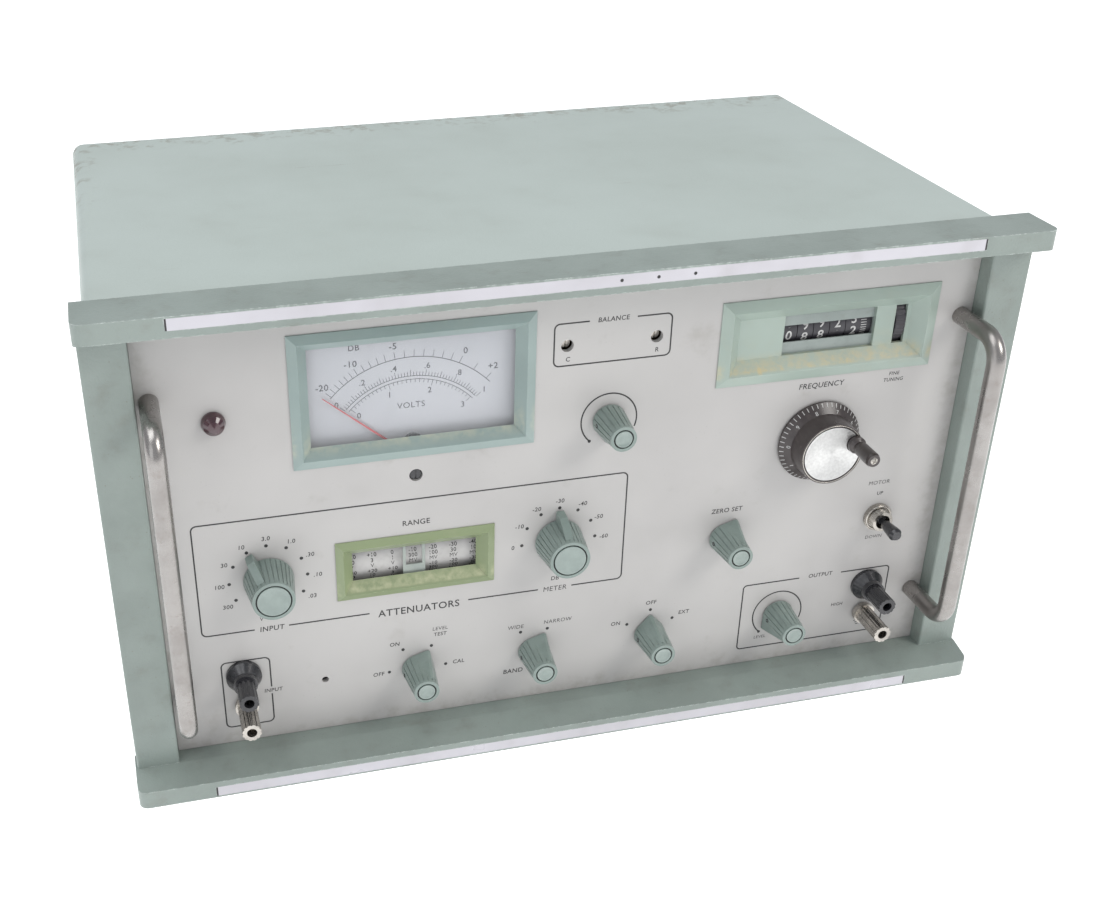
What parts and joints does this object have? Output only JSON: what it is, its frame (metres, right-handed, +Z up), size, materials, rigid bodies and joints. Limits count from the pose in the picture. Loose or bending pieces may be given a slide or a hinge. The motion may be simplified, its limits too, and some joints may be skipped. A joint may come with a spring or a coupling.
{
  "type": "spectrum analyzer",
  "caption": "bench wave analyzer in a painted table case with panel meter, digit-wheel frequency counter, cranked tuning knob, attenuator knobs and two bar handles",
  "frame": {"origin": "middle of the lower rail's underside, on the surface the instrument stands on", "axes": "+X to the operator's right, +Y from the front panel to the rear cover, +Z up"},
  "size_m": [0.4826, 0.3217, 0.275],
  "materials": {
    "cabinet_paint": "hammertone enamel, satin",
    "rail_paint": "hammertone enamel, satin",
    "panel_grey": "satin, slightly brushed",
    "strip_metal": "satin white lacquer on aluminium",
    "handle_metal": "satin, worn",
    "bezel_green": "moulded, semi gloss",
    "display_green": "moulded, semi gloss",
    "range_green": "moulded, semi gloss",
    "glass": "clear",
    "scale_white": "printed card",
    "needle_red": "matt",
    "wheel_black": "printed",
    "mask_grey": "matt",
    "drum_white": "printed",
    "knob_green": "moulded, semi gloss",
    "tuning_black": "moulded phenolic",
    "nickel": "dull nickel plate",
    "post_black": "moulded phenolic",
    "lamp_red": "tinted lens",
    "steel": "plated",
    "board_brown": "phenolic laminate",
    "foot_rubber": "moulded"
  },
  "bodies": {
    "root": {"case_shell": "cabinet_paint", "rear_cover": "cabinet_paint", "rear_cover_screws": "steel", "rear_feet": "foot_rubber", "crown_rail": "rail_paint", "sill_rail": "rail_paint", "left_post": "rail_paint", "right_post": "rail_paint", "rail_strips": "strip_metal", "front_panel": "panel_grey", "chassis_tray": "steel", "left_handle": "handle_metal", "right_handle": "handle_metal", "meter_bezel": "bezel_green", "meter_case": "post_black", "meter_glass": "glass", "meter_scale": "scale_white", "display_bezel": "display_green", "counter_frame": "mask_grey", "range_bezel": "range_green", "knob_bushings": "nickel", "rotary_switches": "steel", "potentiometers": "steel", "toggle_body": "nickel", "post_collars": "post_black", "post_studs": "nickel", "pilot_lamp": "lamp_red", "circuit_board": "board_brown", "power_transformer": "steel", "power_inlet": "post_black", "drive_motor": "steel", "drum_frame": "steel"},
    "needle": {"meter_needle": "needle_red"},
    "zero_adjuster": {"zero_adjuster": "nickel"},
    "tuning": {"tuning_knob": "tuning_black", "tuning_shaft": "steel"},
    "crank": {"crank_handle": "tuning_black"},
    "fine_tuning": {"fine_tuning_wheel": "wheel_black"},
    "range_drum": {"range_drum": "drum_white"},
    "range_cursor": {"range_cursor": "mask_grey"},
    "toggle": {"toggle_lever": "post_black"},
    "cap_trimmer": {"cap_trimmer": "nickel"},
    "res_trimmer": {"res_trimmer": "nickel"},
    "input_attenuator": {"input_attenuator_knob": "knob_green"},
    "meter_attenuator": {"meter_attenuator_knob": "knob_green"},
    "balance": {"balance_knob": "knob_green"},
    "zero_set": {"zero_set_knob": "knob_green"},
    "function": {"function_knob": "knob_green"},
    "band": {"band_knob": "knob_green"},
    "afc": {"afc_knob": "knob_green"},
    "output_level": {"output_level_knob": "knob_green"},
    "counter_wheel_1": {"counter_wheel_1": "wheel_black"},
    "counter_wheel_2": {"counter_wheel_2": "wheel_black"},
    "counter_wheel_3": {"counter_wheel_3": "wheel_black"},
    "counter_wheel_4": {"counter_wheel_4": "wheel_black"},
    "counter_wheel_5": {"counter_wheel_5": "wheel_black"},
    "input_post_cap": {"input_post_cap": "post_black"},
    "input_ground_cap": {"input_ground_cap": "nickel"},
    "output_post_cap": {"output_post_cap": "post_black"},
    "output_ground_cap": {"output_ground_cap": "nickel"}
  },
  "joints": [
    {"name": "input_attenuator_turn", "type": "hinge", "parent": "root", "child": "input_attenuator", "pos_m": [-0.1622, 0.0125, 0.1152], "axis": [0, 1, 0], "range_deg": [-90, 150]},
    {"name": "meter_attenuator_turn", "type": "hinge", "parent": "root", "child": "meter_attenuator", "pos_m": [-0.0067, 0.0125, 0.1152], "axis": [0, 1, 0], "range_deg": [-90, 90]},
    {"name": "balance_turn", "type": "hinge", "parent": "root", "child": "balance", "pos_m": [0.018, 0.0125, 0.1844], "axis": [0, 1, 0], "range_deg": [0, 300]},
    {"name": "zero_set_turn", "type": "hinge", "parent": "root", "child": "zero_set", "pos_m": [0.0894, 0.0125, 0.1029], "axis": [0, 1, 0], "range_deg": [-165, 105]},
    {"name": "function_turn", "type": "hinge", "parent": "root", "child": "function", "pos_m": [-0.085, 0.0125, 0.0454], "axis": [0, 1, 0], "range_deg": [-120, 60]},
    {"name": "band_turn", "type": "hinge", "parent": "root", "child": "band", "pos_m": [-0.0189, 0.0125, 0.0454], "axis": [0, 1, 0], "range_deg": [-60, 0]},
    {"name": "afc_turn", "type": "hinge", "parent": "root", "child": "afc", "pos_m": [0.0492, 0.0125, 0.0454], "axis": [0, 1, 0], "range_deg": [-60, 60]},
    {"name": "output_level_turn", "type": "hinge", "parent": "root", "child": "output_level", "pos_m": [0.1277, 0.0125, 0.0454], "axis": [0, 1, 0], "range_deg": [0, 270]},
    {"name": "tuning_turn", "type": "hinge", "parent": "root", "child": "tuning", "pos_m": [0.1381, 0.0125, 0.1572], "axis": [0, 1, 0], "continuous": true},
    {"name": "crank_spin", "type": "hinge", "parent": "tuning", "child": "crank", "pos_m": [0.1508, 0.0125, 0.16207], "axis": [0, 1, 0], "continuous": true},
    {"name": "counter_wheel_1_turn", "type": "hinge", "parent": "root", "child": "counter_wheel_1", "pos_m": [0.1173, 0.0311, 0.2189], "axis": [1, 0, 0], "continuous": true},
    {"name": "counter_wheel_2_turn", "type": "hinge", "parent": "root", "child": "counter_wheel_2", "pos_m": [0.12645, 0.0311, 0.2189], "axis": [1, 0, 0], "continuous": true},
    {"name": "counter_wheel_3_turn", "type": "hinge", "parent": "root", "child": "counter_wheel_3", "pos_m": [0.1356, 0.0311, 0.2189], "axis": [1, 0, 0], "continuous": true},
    {"name": "counter_wheel_4_turn", "type": "hinge", "parent": "root", "child": "counter_wheel_4", "pos_m": [0.14475, 0.0311, 0.2189], "axis": [1, 0, 0], "continuous": true},
    {"name": "counter_wheel_5_turn", "type": "hinge", "parent": "root", "child": "counter_wheel_5", "pos_m": [0.1539, 0.0311, 0.2189], "axis": [1, 0, 0], "continuous": true},
    {"name": "fine_tuning_turn", "type": "hinge", "parent": "root", "child": "fine_tuning", "pos_m": [0.179, 0.0311, 0.2189], "axis": [1, 0, 0], "range_deg": [-160, 160]},
    {"name": "needle_sweep", "type": "hinge", "parent": "root", "child": "needle", "pos_m": [-0.0839, 0.0199, 0.173], "axis": [0, 1, 0], "range_deg": [0, 99], "stiffness_Nm_per_rad": 0.00002},
    {"name": "zero_adjuster_turn", "type": "hinge", "parent": "root", "child": "zero_adjuster", "pos_m": [-0.0839, 0.0155, 0.1658], "axis": [0, 1, 0], "range_deg": [-60, 60]},
    {"name": "range_drum_turn", "type": "hinge", "parent": "root", "child": "range_drum", "pos_m": [-0.0848, 0.0375, 0.1098], "axis": [1, 0, 0], "range_deg": [-90, 150]},
    {"name": "range_cursor_slide", "type": "slide", "parent": "root", "child": "range_cursor", "axis": [1, 0, 0], "range_m": [-0.0285, 0.0285]},
    {"name": "toggle_throw", "type": "hinge", "parent": "root", "child": "toggle", "pos_m": [0.1818, 0.0095, 0.103], "axis": [1, 0, 0], "range_deg": [-13, 13], "stiffness_Nm_per_rad": 0.02},
    {"name": "cap_trimmer_turn", "type": "hinge", "parent": "root", "child": "cap_trimmer", "pos_m": [-0.006, 0.0167, 0.2283], "axis": [0, 1, 0], "range_deg": [-140, 140]},
    {"name": "res_trimmer_turn", "type": "hinge", "parent": "root", "child": "res_trimmer", "pos_m": [0.0411, 0.0167, 0.2283], "axis": [0, 1, 0], "range_deg": [-140, 140]},
    {"name": "input_post_cap_turn", "type": "hinge", "parent": "root", "child": "input_post_cap", "pos_m": [-0.1794, 0.0025, 0.0575], "axis": [0, 1, 0], "range_deg": [0, 1080]},
    {"name": "input_ground_cap_turn", "type": "hinge", "parent": "root", "child": "input_ground_cap", "pos_m": [-0.1794, 0.0025, 0.03845], "axis": [0, 1, 0], "range_deg": [0, 1080]},
    {"name": "output_post_cap_turn", "type": "hinge", "parent": "root", "child": "output_post_cap", "pos_m": [0.182, 0.0025, 0.0575], "axis": [0, 1, 0], "range_deg": [0, 1080]},
    {"name": "output_ground_cap_turn", "type": "hinge", "parent": "root", "child": "output_ground_cap", "pos_m": [0.182, 0.0025, 0.03845], "axis": [0, 1, 0], "range_deg": [0, 1080]}
  ],
  "couplings": [
    {"joint": "counter_wheel_1_turn", "follows": "tuning_turn", "ratio": 0.0001},
    {"joint": "counter_wheel_2_turn", "follows": "tuning_turn", "ratio": 0.001},
    {"joint": "counter_wheel_3_turn", "follows": "tuning_turn", "ratio": 0.01},
    {"joint": "counter_wheel_4_turn", "follows": "tuning_turn", "ratio": 0.1},
    {"joint": "counter_wheel_5_turn", "follows": "tuning_turn", "ratio": 1},
    {"joint": "range_drum_turn", "follows": "input_attenuator_turn", "ratio": 1},
    {"joint": "range_cursor_slide", "follows": "meter_attenuator_turn", "m_per_rad": 0.018144}
  ]
}
